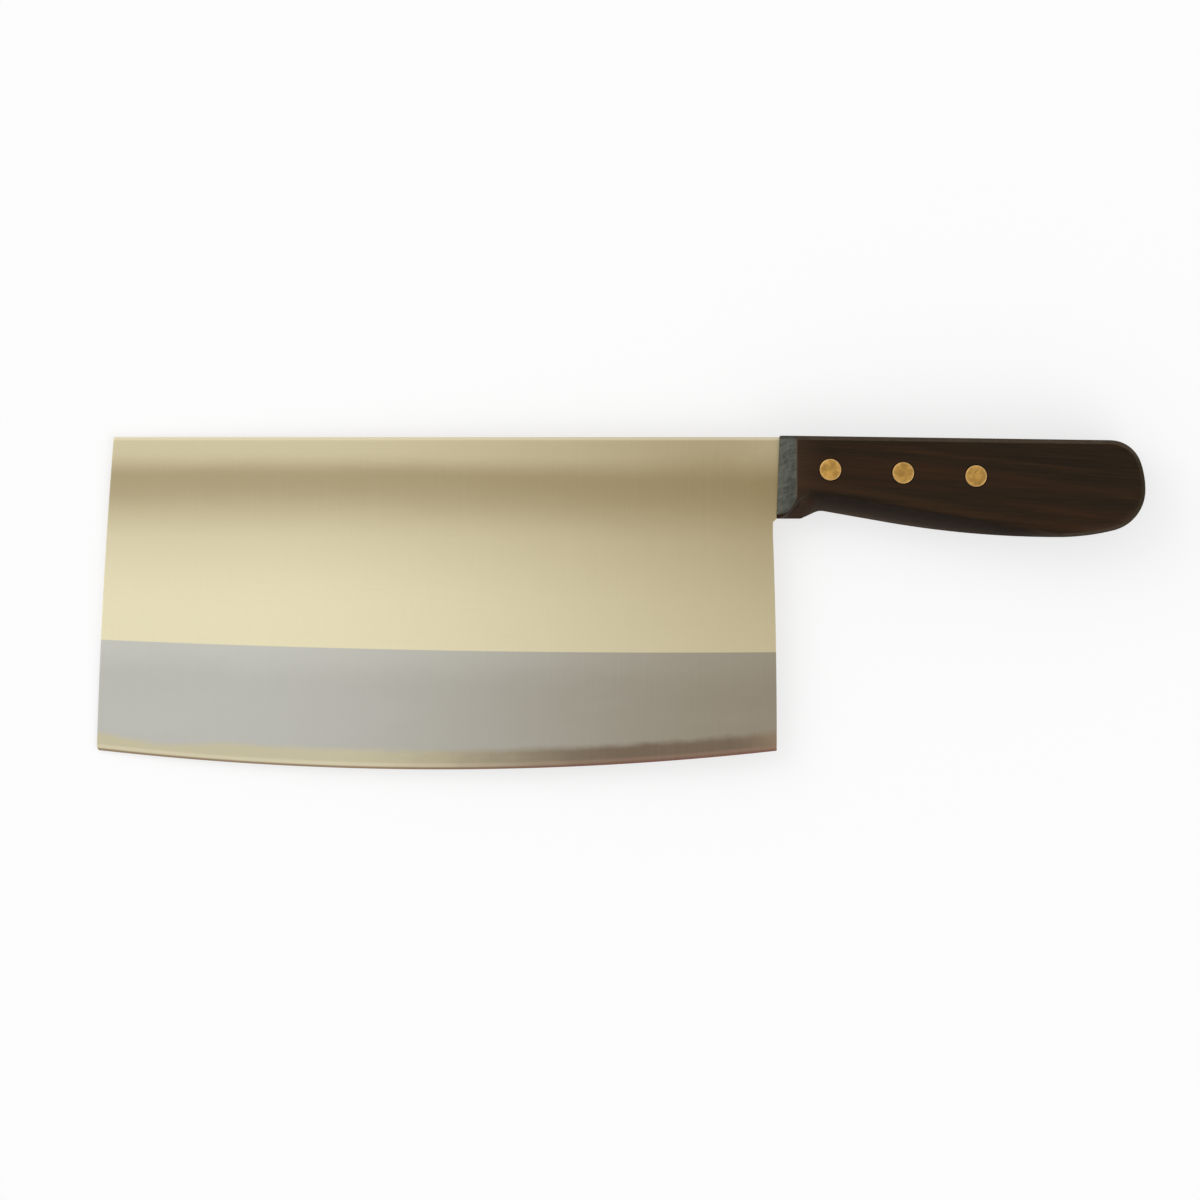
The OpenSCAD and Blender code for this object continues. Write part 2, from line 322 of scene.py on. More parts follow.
BLADE_LEN = 225.0
HEEL = np.array([-0.4, -103.8])
NOSE = np.array([HEEL[0] - BLADE_LEN, -103.5])
HEEL_TOP = np.array([-1.85, -28.1])
NOSE_TOP = np.array([NOSE[0] + 5.6, 0.0])
EDGE_BOW = 6.32
NOSE_BOW = 0.65
HEEL_BOW = 0.4
NOSE_ROUND = 1.2
GRIND_NOSE = np.array([-223.4, -66.9])
GRIND_HEEL = np.array([-0.4, -71.1])
GRIND_SAG = 1.5
# Width of the bevel behind the edge at the nose, in the middle and at the heel
STRIP_WIDTHS = (6.3, 7.6, 5.4)
# Height of the sharpened edge's own small bevel
MICRO_H = 0.7
TANG_END = 76.5
TANG_H = 21.5
TANG_CORNER = 4.0
TOP_FALL = math.tan(math.radians(0.8))
# How far an arris of the steel is rounded, and the cutting edge
STEEL_SOFT, EDGE_SOFT = 0.22, 0.02
# Half thickness of the steel at the bevel's top, above the sharpened edge, and at it
STRIP_HALF, MICRO_HALF, EDGE_HALF = 0.41, 0.176, 0.04
# How far the extra rows beside a crease are from it, which keep its shading crisp
BESIDE_CREASE = np.array([0.006, 0.02])


def at_height(y):
    """A straight level line along the blade, as a function of X."""
    return lambda x: y + 0 * x


def edge_line(x):
    """The cutting edge, a circular arc from heel to nose."""
    return bowed(HEEL, NOSE, EDGE_BOW, x, 0)


def grind_line(x):
    """The line below which the steel is ground thinner, a slightly sagging arc."""
    return bowed(GRIND_HEEL, GRIND_NOSE, GRIND_SAG, x, 0)


def strip_line(x):
    """Top of the edge bevel: the edge plus a width that a parabola carries through its
    values at the nose, in the middle and at the heel."""
    s = (x - NOSE[0]) / BLADE_LEN
    nose, middle, heel = STRIP_WIDTHS
    width = nose + s * (heel - nose) + 4 * s * (1 - s) * (middle - (nose + heel) / 2)
    return edge_line(x) + width


def nose_line(y):
    """The nose edge's arc, with the corner that it makes with the cutting edge rounded
    by a quarter circle."""
    reach = np.clip(NOSE_ROUND - (y - NOSE[1]), 0, NOSE_ROUND)
    return bowed(NOSE, NOSE_TOP, NOSE_BOW, y, 1) + NOSE_ROUND - np.sqrt(
        NOSE_ROUND ** 2 - reach ** 2)


def blade_plate():
    """Grid of the plate's side from nose to the line of the heel's top. Row g lies
    between two of seven curves, from the spine to the edge, as far along as g is between
    their numbers, and its points run from the nose edge to the heel edge, closer at both
    ends by a cosine. Half the thickness goes in straight steps from curve to curve. The
    ends of a row depend on its heights and these on the ends, so both are found in a few
    rounds."""
    curves = [at_height(-STEEL_SOFT), at_height(-TANG_H), at_height(HEEL_TOP[1]),
              grind_line, strip_line, lambda x: edge_line(x) + MICRO_H,
              lambda x: edge_line(x) + EDGE_SOFT]
    halves = [STEEL_HALF] * 4 + [STRIP_HALF, MICRO_HALF, EDGE_HALF]
    # Rows from curve to curve, with more of them beside the two creases
    rows = np.concatenate([
        np.linspace(0, 1, 12), np.linspace(1, 2, 5)[1:], np.linspace(2, 3, 13)[1:-1],
        3 - BESIDE_CREASE[::-1], [3], 3 + BESIDE_CREASE, np.linspace(3, 4, 9)[1:-1],
        4 - BESIDE_CREASE[::-1], [4], 4 + BESIDE_CREASE * 2, np.linspace(4, 5, 7)[1:],
        np.linspace(5, 6, 8)[1:]])
    g = rows[:, None]
    s = (1 - np.cos(np.linspace(0, np.pi, 81)))[None, :] / 2
    x = NOSE[0] + s * BLADE_LEN + 0 * g
    index = np.minimum(g.astype(int), len(curves) - 2) + np.zeros(x.shape, int)
    part = g - index
    for _ in range(6):
        levels = np.stack([curve(x) for curve in curves])
        upper = np.take_along_axis(levels, index[None], 0)[0]
        lower = np.take_along_axis(levels, index[None] + 1, 0)[0]
        y = upper + part * (lower - upper)
        left = nose_line(y) + STEEL_SOFT
        heel = bowed(HEEL_TOP, HEEL, HEEL_BOW, np.minimum(y, HEEL_TOP[1]), 1) - STEEL_SOFT
        right = np.where(g <= 2, HEEL_TOP[0], heel)
        x = left + s * (right - left)
    z = np.interp(rows, np.arange(len(curves)), halves)[:, None] + 0 * x
    return np.stack([x, y, z], axis=-1), rows


def blade_mesh():
    """The blade's sides, and a wall round them. A side's grid is the plate's, then the
    piece of tang in front of the notch and the tang proper as further columns, whose
    quads are left out below the rows where they end. In the wall, each point of the
    side's rim moves out by the softness times a sine, and down by it times one minus a
    cosine."""
    plate, rows = blade_plate()
    height = plate[:, -1:, 1]
    foot_row, heel_row = int(np.argmax(rows >= 1)), int(np.argmax(rows >= 2))
    # Columns across the throat, whose notch rises from the heel's top at 45 degrees, then
    # along the tang and over its cut corner
    notch_x = HEEL_TOP[0] + np.clip(height, HEEL_TOP[1], -TANG_H) - HEEL_TOP[1]
    throat = HEEL_TOP[0] + np.linspace(0, 1, 7)[None, 1:] * (notch_x - HEEL_TOP[0])
    tang_len = TANG_END - notch_x[0, 0]
    tang_x = np.concatenate([np.linspace(0, tang_len - TANG_CORNER, 18)[1:],
                             tang_len - np.linspace(TANG_CORNER, 0, 5)[1:]])
    x = np.concatenate([throat, notch_x + tang_x[None, :]], axis=1)
    # That corner and the one below it are cut off at 45 degrees
    past = np.maximum(x - (TANG_END - TANG_CORNER), 0)
    top = -STEEL_SOFT - TOP_FALL * np.maximum(x, 0) - past
    share = np.clip((height - height[0]) / (height[foot_row] - height[0]), 0, 1)
    on_foot = np.arange(len(rows))[:, None] == foot_row
    y = np.where(height > -TANG_H, top + share * (past - TANG_H - top),
                 np.where(on_foot, past - TANG_H, height))
    tang = np.stack([x, y, STEEL_HALF + 0 * x], axis=-1)
    side = np.concatenate([plate, tang], axis=1)
    count, columns = side.shape[:2]
    plate_end, throat_end = plate.shape[1] - 1, plate.shape[1] + throat.shape[1] - 1
    faces = grid_faces(count, columns)
    row, column = np.divmod(faces[:, 0], columns)
    faces = faces[(column < plate_end) | ((column < throat_end) & (row < heel_row))
                  | (row < foot_row)]

    def run(row, column):
        """Places in the grid along one stretch of the rim."""
        return np.stack(np.broadcast_arrays(row, column), axis=1)

    at_row, at_column = np.concatenate([
        run(0, np.arange(columns - 1)),
        run(np.arange(foot_row), columns - 1),
        run(foot_row, np.arange(columns - 1, throat_end, -1)),
        run(np.arange(foot_row, heel_row), throat_end),
        run(np.arange(heel_row, count - 1), plate_end),
        run(count - 1, np.arange(plate_end, 0, -1)),
        run(np.arange(count - 1, 0, -1), 0)]).T
    ring = side[at_row, at_column]
    soft = np.where(at_row == count - 1, EDGE_SOFT, STEEL_SOFT)[:, None]
    # Where the steel is thin, the arris takes at most this share of its half thickness
    drop = np.minimum(soft, 0.6 * ring[:, 2:])
    turn = np.linspace(0, np.pi / 2, 6)[:, None, None]
    wall = np.concatenate([ring[:, :2] + outward(ring[:, :2]) * soft * np.sin(turn),
                           ring[:, 2:] - drop * (1 - np.cos(turn))], axis=2)
    wall = np.concatenate([wall, wall[::-1] * (1, 1, -1)])
    flat = side.reshape(-1, 3)
    points = np.concatenate([flat, flat * (1, 1, -1), wall.reshape(-1, 3)])
    wall_faces = grid_faces(len(wall), len(ring), closed=True, first=2 * len(flat))
    faces = np.concatenate([faces, faces[:, ::-1] + len(flat), wall_faces])
    mesh = mesh_of("blade_steel", points, faces.tolist())
    merged(mesh)
    return mesh


# Handle

HANDLE_LEN = 121.0
HANDLE_DROP = 33.1
FRONT_TOP = np.array([FRONT_LEAN / 2, TOP_RISE])
FRONT_FOOT = np.array([-FRONT_LEAN / 2, -27.0])
BEAK_FOOT = np.array([7.5, -27.0])
BEAK_SLOPE, GRIP_SLOPE = 24.7, 10.0
HOLLOW_R, GRIP_R, PALM_R = 5.0, 333.0, 75.0
# Headings and radii of the butt's upper corner and of its end, clockwise
BUTT_TURNS = ((-0.8, -70.8, 10.8), (-70.8, -90, 28.0))
PALM_HEADING = -166
RIM_EASE = 1.2
# Where the side meets the bevels of the front and the underside
FACET_X = 6.0
BEAK_CORNER = np.array([FACET_X, -20.9])
BEAK_TOP = np.array([10.9, -17.8])
PALM_BEVEL_H = 0.9
GRIP_BEVEL_H = 6.0
BEAK_BEVEL_H = 6.6
BEVEL_SLOPE = math.tan(math.radians(51))
# How far behind the hollow's arc the rim of the underside bevel turns towards the beak
BEVEL_TURN = 1.0
# A bevel falls by at least this much, also where its plane just touches the outline
LEAST_FALL = 0.8
# The visible wood stands this far inside the rivets' heads
WOOD_BACK = 0.12
# How far an arris of the wood is rounded
ARRIS = 0.5
# Points across an arris, and steps across the bevel between two arrises
ARRIS_POINTS, BEVEL_STEPS = 6, 8
# How far a bevel swells, and the share of that at each stage of the outline
SWELL = 0.45
SWELL_SHARES = np.array([0, 0.4, 0.8, 1.0, 0])
# Where the crease between facet and beak meets the front, above its foot, how far the
# crease bows down, and over how many points of the outline that dies away
CREASE_RISE = 1.4
CREASE_BOW = 1.6
CREASE_REACH = 24


def handle_lines():
    """The handle's outline and the rim of its flat side, clockwise from the front's top,
    as loops of the same number of points that lie across from each other. The outline is
    lines and arcs between the same corners as the frame's handle. Gives, with each point,
    how far the outline has come: 0 on the top and butt, 1 on the grip, 2 in the hollow,
    3 under the beak and 4 up the front. The last number given to a line or an arc is its
    count of points, one to five a millimetre."""
    reach = arc_end(arc_end(np.zeros(2), *BUTT_TURNS[0]), *BUTT_TURNS[1])[0]
    top_x = FRONT_TOP[0] + HANDLE_LEN - reach
    top_end = [top_x, TOP_RISE - (top_x - FRONT_TOP[0]) * TOP_FALL]
    parts = [FRONT_TOP[None], line(FRONT_TOP, top_end, 220)]
    for first, last, radius in BUTT_TURNS:
        count = int((first - last) * radius / 30)
        parts.append(arc(parts[-1][-1], first, last, radius, count))
    lift = math.cos(math.radians(PALM_HEADING))
    # Radius that brings the palm's arcs down to the handle's lowest line
    low_r = (parts[-1][-1][1] + HANDLE_DROP - PALM_R * (1 + lift)) / -lift
    parts.append(arc(parts[-1][-1], -90, PALM_HEADING, low_r, 40))
    parts.append(arc(parts[-1][-1], PALM_HEADING, -180, PALM_R, 40))
    around = np.concatenate(parts)
    palm_low = around[-1]
    grip_end = arc_end(palm_low, -180, -180 - GRIP_SLOPE, GRIP_R)
    rise, fall = math.tan(math.radians(BEAK_SLOPE)), math.tan(math.radians(GRIP_SLOPE))
    hollow_x = (BEAK_FOOT[0] * rise + grip_end[0] * fall + grip_end[1] - BEAK_FOOT[1]) / (
        rise + fall)
    hollow = np.array([hollow_x, BEAK_FOOT[1] + (hollow_x - BEAK_FOOT[0]) * rise])
    tangent = HOLLOW_R * math.tan(math.radians(BEAK_SLOPE + GRIP_SLOPE) / 2)
    hollow_back = hollow + tangent * heading(-GRIP_SLOPE)
    grip = np.concatenate([arc(palm_low, -180, -180 - GRIP_SLOPE, GRIP_R, 120),
                           line(grip_end, hollow_back, 40)])
    curve = arc(hollow_back, -180 - GRIP_SLOPE, BEAK_SLOPE - 180, -HOLLOW_R, 14)
    beak = np.concatenate([curve, line(curve[-1], BEAK_FOOT, 20)])
    front_run = FRONT_TOP - FRONT_FOOT
    crease = FRONT_FOOT + CREASE_RISE * front_run / front_run[1]
    foot = np.concatenate([line(BEAK_FOOT, FRONT_FOOT, 36), line(FRONT_FOOT, crease, 6)])
    front = line(crease, FRONT_TOP, 120)[:-1]
    outline = np.concatenate([around, grip, beak, foot, front])

    bevel_back = palm_low + (0, PALM_BEVEL_H)
    bevel_run = hollow_back[0] + BEVEL_TURN - bevel_back[0]
    to_beak = (BEAK_TOP - bevel_back) / (BEAK_TOP[0] - bevel_back[0])
    bevel_mid = bevel_back + bevel_run * to_beak
    share = ((palm_low[0] - grip[:, 0]) / (palm_low[0] - hollow_back[0]))[:, None]
    rim = around - RIM_EASE * outward(np.concatenate([around, grip[:1]]))[:-1]
    rim[0] = [FACET_X, TOP_RISE - RIM_EASE]
    rim[:, 0] = np.maximum(rim[:, 0], FACET_X)
    flat = np.concatenate([
        rim, bevel_back + share * (bevel_mid - bevel_back),
        line(bevel_mid, BEAK_TOP, len(beak)), line(BEAK_TOP, BEAK_CORNER, len(foot)),
        line(BEAK_CORNER, rim[0], len(front) + 1)[:-1]])
    stretches = (around, grip, beak, foot, front)
    stage = np.repeat(np.arange(5), [len(stretch) for stretch in stretches])
    return outline, flat, stage, hollow, bevel_back


def wall_half(outline, stage, hollow, bevel_back):
    """Half the height of the handle's wall: what the planes of the bevels leave there,
    and round the top, butt and palm what the eased rim leaves. A plane falls away from
    its line in the flat side. Of the beak's two planes the lower one counts, and of that
    and the grip's the higher."""
    def left_by(point, slope):
        """Height that the plane leaves whose line runs through point at this slope."""
        along = heading(slope)
        beyond = (outline - point) @ np.array([along[1], -along[0]])
        return HANDLE_HALF - beyond * BEVEL_SLOPE

    bevel_front = hollow + (0, GRIP_BEVEL_H)
    fall = math.degrees(math.atan2(*(bevel_back - bevel_front)[::-1]))
    square_up = heading(BEAK_SLOPE + 90)
    beak = np.minimum(left_by(BEAK_FOOT + (0, BEAK_BEVEL_H), 0),
                      left_by(BEAK_FOOT + BEAK_BEVEL_H * square_up, BEAK_SLOPE))
    under = np.maximum(beak, left_by(bevel_front, fall))
    under = np.where(stage > 0, under, HANDLE_HALF - RIM_EASE)
    front = HANDLE_HALF - (FACET_X - outline[:, 0]) * BEVEL_SLOPE
    return np.minimum(front, np.minimum(under, HANDLE_HALF - LEAST_FALL))


def handle_mesh():
    """The handle's section, carried round its outline: up the wall, round an arris, up
    the bevel and round a second arris on to the flat side, and the same mirrored below.
    An arris is a quadratic curve whose middle control point is the corner itself, and a
    bevel swells by a parabola between its arrises. Near the crease between facet and
    beak, the bevel's points move down by a parabola of their height times the square of
    a cosine along the outline."""
    outline, flat, stage, hollow, bevel_back = handle_lines()
    half = wall_half(outline, stage, hollow, bevel_back)[:, None]
    # The more points a corner is eased over, the softer it gets
    swell = eased(SWELL * SWELL_SHARES[stage][:, None], 9)
    outline, flat, half = eased(outline, 3), eased(flat, 5), eased(half, 5) - WOOD_BACK
    low_corner = np.concatenate([outline, half], axis=1)
    high_corner = np.concatenate([flat, 0 * half + HANDLE_HALF - WOOD_BACK], axis=1)
    bevel = high_corner - low_corner
    length = np.linalg.norm(bevel, axis=1, keepdims=True)
    run = np.linalg.norm(bevel[:, :2], axis=1, keepdims=True)
    inward = np.concatenate([bevel[:, :2] / run, 0 * run], axis=1)
    proud = (run * np.array([0, 0, 1.0]) - inward * bevel[:, 2:]) / length
    # On a narrow bevel an arris takes at most this share of it
    part = np.minimum(ARRIS, 0.35 * length) / length
    lower = rounded(low_corner - (0, 0, ARRIS), low_corner, low_corner + part * bevel,
                    ARRIS_POINTS)

    def within(reach):
        """The flat side's rim, moved this far inward."""
        rim = high_corner + reach * inward
        rim[:, 0] = np.maximum(rim[:, 0], FACET_X + reach)
        top = TOP_RISE - TOP_FALL * rim[:, 0] - RIM_EASE - reach
        rim[:, 1] = np.minimum(rim[:, 1], top)
        return rim

    upper = rounded(high_corner - part * bevel, high_corner, within(ARRIS), ARRIS_POINTS)
    share = np.linspace(0, 1, BEVEL_STEPS + 1)[1:-1, None, None]
    middle = lower[-1] + share * (upper[0] - lower[-1])
    middle = middle + 4 * share * (1 - share) * swell * proud
    quarter = np.concatenate([lower, middle, upper, within(ARRIS + 0.1)[None]])
    risen = np.clip((quarter[..., 2] - half.T) / bevel[:, 2], 0, 1)
    from_crease = np.abs(np.arange(len(stage)) - np.argmax(stage == 4) + 1) / CREASE_REACH
    near_crease = np.cos(np.minimum(from_crease, 1) * np.pi / 2) ** 2
    quarter[..., 1] -= CREASE_BOW * near_crease * 4 * risen * (1 - risen)
    section = np.concatenate([quarter[::-1] * (1, 1, -1), quarter])
    layers, count = section.shape[:2]
    faces = grid_faces(layers, count, closed=True).tolist()
    faces.append(list(range(count)))
    faces.append(list(range((layers - 1) * count, layers * count))[::-1])
    mesh = mesh_of("handle_wood", section.reshape(-1, 3), faces)
    merged(mesh, 0.0005)
    return mesh


# Rivets

RIVET_FIRST = np.array([17.3, -10.8])
RIVET_PITCH = np.array([24.1, -24.1 * math.tan(math.radians(2.5))])
RIVET_PLACES = ("front", "middle", "rear")
HEAD_R, HEAD_H = 3.65, 1.8
# How far the face of a head is domed, and the radius of its rim
HEAD_DOME, HEAD_SOFT = 0.06, 0.35
HEAD_SEAT = HANDLE_HALF - HEAD_H
TUBE_R, POST_R = 2.5, 1.7
# How far tube and post stop short of the other half's head
TUBE_SHORT, POST_SHORT = 0.4, 0.6
TUBE_GAP = 0.01
# The wood stands this far clear of tang and rivets
WOOD_GAP = 0.05


def rivet_at(index):
    """The middle of a rivet, counted from the front."""
    return RIVET_FIRST + index * RIVET_PITCH


def head_profile(shank):
    """Radii and heights of a rivet's head from the middle of its face to the top of its
    shank: a dome that sinks by the square of the radius, a rim rounded by a quarter
    circle, and a flat underside."""
    across = np.linspace(0, 1, 8)
    turn = np.linspace(0, np.pi / 2, 7)[1:]
    dome_r, dome_foot = HEAD_R - HEAD_SOFT, HANDLE_HALF - HEAD_DOME
    return np.concatenate([
        np.stack([across * dome_r, HANDLE_HALF - HEAD_DOME * across ** 2], axis=1),
        np.stack([dome_r + HEAD_SOFT * np.sin(turn),
                  dome_foot - HEAD_SOFT * (1 - np.cos(turn))], axis=1),
        [(HEAD_R, HEAD_SEAT), (shank, HEAD_SEAT)]])


def tube_mesh(name, index):
    """Head on the upper side, with a tube that reaches down through wood and tang."""
    foot, bore = TUBE_SHORT - HEAD_SEAT, POST_R + TUBE_GAP
    shank = [(TUBE_R, foot), (bore, foot), (bore, HEAD_SEAT), (0, HEAD_SEAT)]
    return revolved(name, rivet_at(index), np.concatenate([head_profile(TUBE_R), shank]))


def post_mesh(name, index):
    """Head on the lower side, with a post that is pressed up into the tube."""
    top = HEAD_SEAT - POST_SHORT
    head = head_profile(POST_R) * (1, -1)
    return revolved(name, rivet_at(index), np.concatenate([head, [(POST_R, top), (0, top)]]))


def bore_cutter(index):
    """A rivet's bore, with a countersunk seat for each head."""
    bore, wide, top = TUBE_R + WOOD_GAP, HEAD_R + WOOD_GAP, HANDLE_HALF + 2.0
    profile = [(0, top), (wide, top), (wide, HEAD_SEAT), (bore, HEAD_SEAT),
               (bore, -HEAD_SEAT), (wide, -HEAD_SEAT), (wide, -top), (0, -top)]
    name = f"bore_{index}"
    return piece_of(name, revolved(name, rivet_at(index), profile))


def slot_cutter():
    """The slot in the handle: the tang's outline with its gap, open at the front and the
    top, as a plate a little thicker than the steel."""
    over, before, shoulder = 3.0, 7.0, -1.0
    end, foot = TANG_END + WOOD_GAP, -TANG_H - WOOD_GAP
    outline = np.array([
        [-before, over], [end - TANG_CORNER, over], [end - TANG_CORNER, shoulder],
        [end, shoulder - TANG_CORNER], [end, foot + TANG_CORNER], [end - TANG_CORNER, foot],
        [HEEL_TOP[0] - HEEL_TOP[1] - TANG_H, foot],
        [HEEL_TOP[0] - over, HEEL_TOP[1] - over - 1.5 * WOOD_GAP]])
    count = len(outline)
    half = np.full(count, STEEL_HALF + WOOD_GAP)
    points = np.concatenate([np.c_[outline, half], np.c_[outline, -half]])
    faces = grid_faces(2, count, closed=True).tolist()
    faces += [list(range(count)), list(range(count, 2 * count))[::-1]]
    mesh = mesh_of("slot", points, faces)
    merged(mesh)
    return piece_of("slot", mesh)


# Finishes. Places and distances in them are millimetres in the cleaver's own plane, and a
# colour's share is how much of it covers the one below.

def steel_paint():
    """Satin steel: a champagne upper zone that a painted reflection darkens towards the heel
    and in a soft band near the spine, the grey ground zone below the grind line with painted
    light just below it, and the warmer bevel behind the edge with a painted highlight bead.
    Fine scratches run from spine to edge."""
    material = bpy.data.materials.new("satin_steel")
    paint = Paint(material)
    place = paint.place()
    x, y, _ = paint.parts(place)
    cloud = paint.noise(place, (45, 14, 45), 3) - 0.5
    wave = paint.noise(place, (9, 5, 9), 3) - 0.5

    # Parabolas stand in for the flat arcs of the grind line and the edge
    s = (x - NOSE[0]) / BLADE_LEN
    across = s * (1 - s) * 4
    grind = s * (GRIND_HEEL[1] - GRIND_NOSE[1]) + GRIND_NOSE[1] - across * GRIND_SAG
    above_edge = y - (s * (HEEL[1] - NOSE[1]) + NOSE[1] - across * EDGE_BOW)

    # Champagne zone. What darkens it are the way to the heel, the band and the rise to
    # the spine, each as a share of the light that it takes. All three are painted reflection:
    # the steel's darker reflection of its surroundings, painted into its colour.
    cream, dark_reflection_tone, by_handle_tone = tone(217, 208, 175), tone(103, 75, 0), tone(206, 195, 163)
    band_y, band_foot = -13, -21.5
    heelward_reflection = paint.step(x + wave * 6, -175, 47) * (paint.step(y, -90, -33) * 0.16 + 0.39)
    later = paint.step(x, -150, 0)
    off_band = y + cloud * 2.5 + later * 2.7 - band_y
    band_reach = paint.step(x, -60, 0) * 6 + 8.5
    band = paint.step(off_band / band_reach, 1, 0) * paint.step(off_band, band_foot, 0) * (
        later * -0.07 + 0.43)
    spineward_reflection = paint.step(y, -58, -16) * 0.26
    dark = 1 - (1 - heelward_reflection) * (1 - band) * (1 - spineward_reflection)
    champagne = paint.mix(dark + cloud * 0.03, cream, dark_reflection_tone)
    by_handle = paint.step(x + y * -0.4 + wave * 22, -22, 0) * paint.step(y, -16, -4)
    champagne = paint.mix(by_handle * 0.2, champagne, by_handle_tone)

    # Ground zone, with painted light just below the grind line
    grey_nose, grey_heel = tone(178, 177, 170), tone(137, 128, 111)
    grey_lit = tone(208, 207, 198)
    below_grind = grind - y
    heel_share = paint.step(x + cloud * 30, -190, 8)
    grey = paint.mix(heel_share, grey_nose, grey_heel)
    lit = paint.step(below_grind + wave * 5, 13, 0) * (heel_share * -0.2 + 0.26)
    grey = paint.mix(lit + cloud * 0.15, grey, grey_lit)

    # Bevel behind the edge, its painted highlight bead and the line of the edge itself. All
    # three grow darker towards the heel, painted shade.
    strip_nose, strip_heel = tone(190, 182, 154), tone(112, 97, 81)
    strip_corner = tone(137, 120, 98)
    bead_nose, bead_heel = tone(213, 203, 174), tone(140, 113, 96)
    line_nose, line_heel = tone(138, 116, 95), tone(118, 84, 74)
    shaded = paint.step(x + wave * 16, -150, -48)
    corner = paint.step(x + above_edge * 0.6 + wave * 8, -12, 2)
    strip = paint.mix(shaded, strip_nose, strip_heel)
    strip = paint.mix(corner * 0.8, strip, strip_corner)
    off_edge = above_edge + wave * 2.4 + cloud * 1.5 + paint.bell(x, -205, 26) * 1.9
    strip_mask = paint.step(off_edge, 7.6, 4.6)
    bead = paint.mix(shaded, bead_nose, bead_heel)
    edge = paint.mix(shaded, line_nose, line_heel)

    colour = paint.mix(paint.step(below_grind, -0.08, 0.2), champagne, grey)
    colour = paint.mix(strip_mask, colour, strip)
    colour = paint.mix(paint.bell(above_edge, 1.4, 1.1) * 0.6, colour, bead)
    colour = paint.mix(paint.step(above_edge, 0.95, 0.45) * 0.9, colour, edge)
    # A painted highlight along the rounded arris of the spine
    colour = paint.mix(paint.step(y, -1.3, -0.7) * 0.35, colour, tone(230, 222, 196))

    # Scratches from spine to edge, coarse and fine, and brushing along the blade
    hairs = paint.noise(place, (0.22, 30, 3), 3, 0.6)
    fine = paint.noise(place, (0.09, 9, 3), 2, 0.6)
    brushed = paint.noise(place, (16, 0.35, 3), 3, 0.6)
    colour = paint.mix(paint.step(hairs, 0.5, 0.8) * 0.035, colour, tone(240, 232, 210))
    colour = paint.mix(paint.step(fine, 0.5, 0.8) * 0.045, colour, tone(96, 84, 62))
    colour = paint.mix(paint.step(brushed, 0.5, 0.8) * 0.04, colour, tone(120, 108, 84))
    rough = hairs * 0.08 + cloud * 0.05 + strip_mask * -0.05 + 0.36
    normal = paint.bump(hairs * 0.6 + fine * 0.4, 0.0025)
    paint.finish(Base_Color=colour, Metallic=1.0, Roughness=rough, Normal=normal)
    return material


# The grey of the front's facet ends below in a quarter of an ellipse
FACET_MIDDLE = (-0.3, -20.1)
FACET_REACH = (6.3, 5.3)
# Slope of the two long streaks in the wood's side, and their heights at the front
LOW_STREAK_SLOPE = 0.176
LIGHT_STREAK_Y, DARK_STREAK_Y = -13.5, -16.6
PALM_MIDDLE = (106, -15)


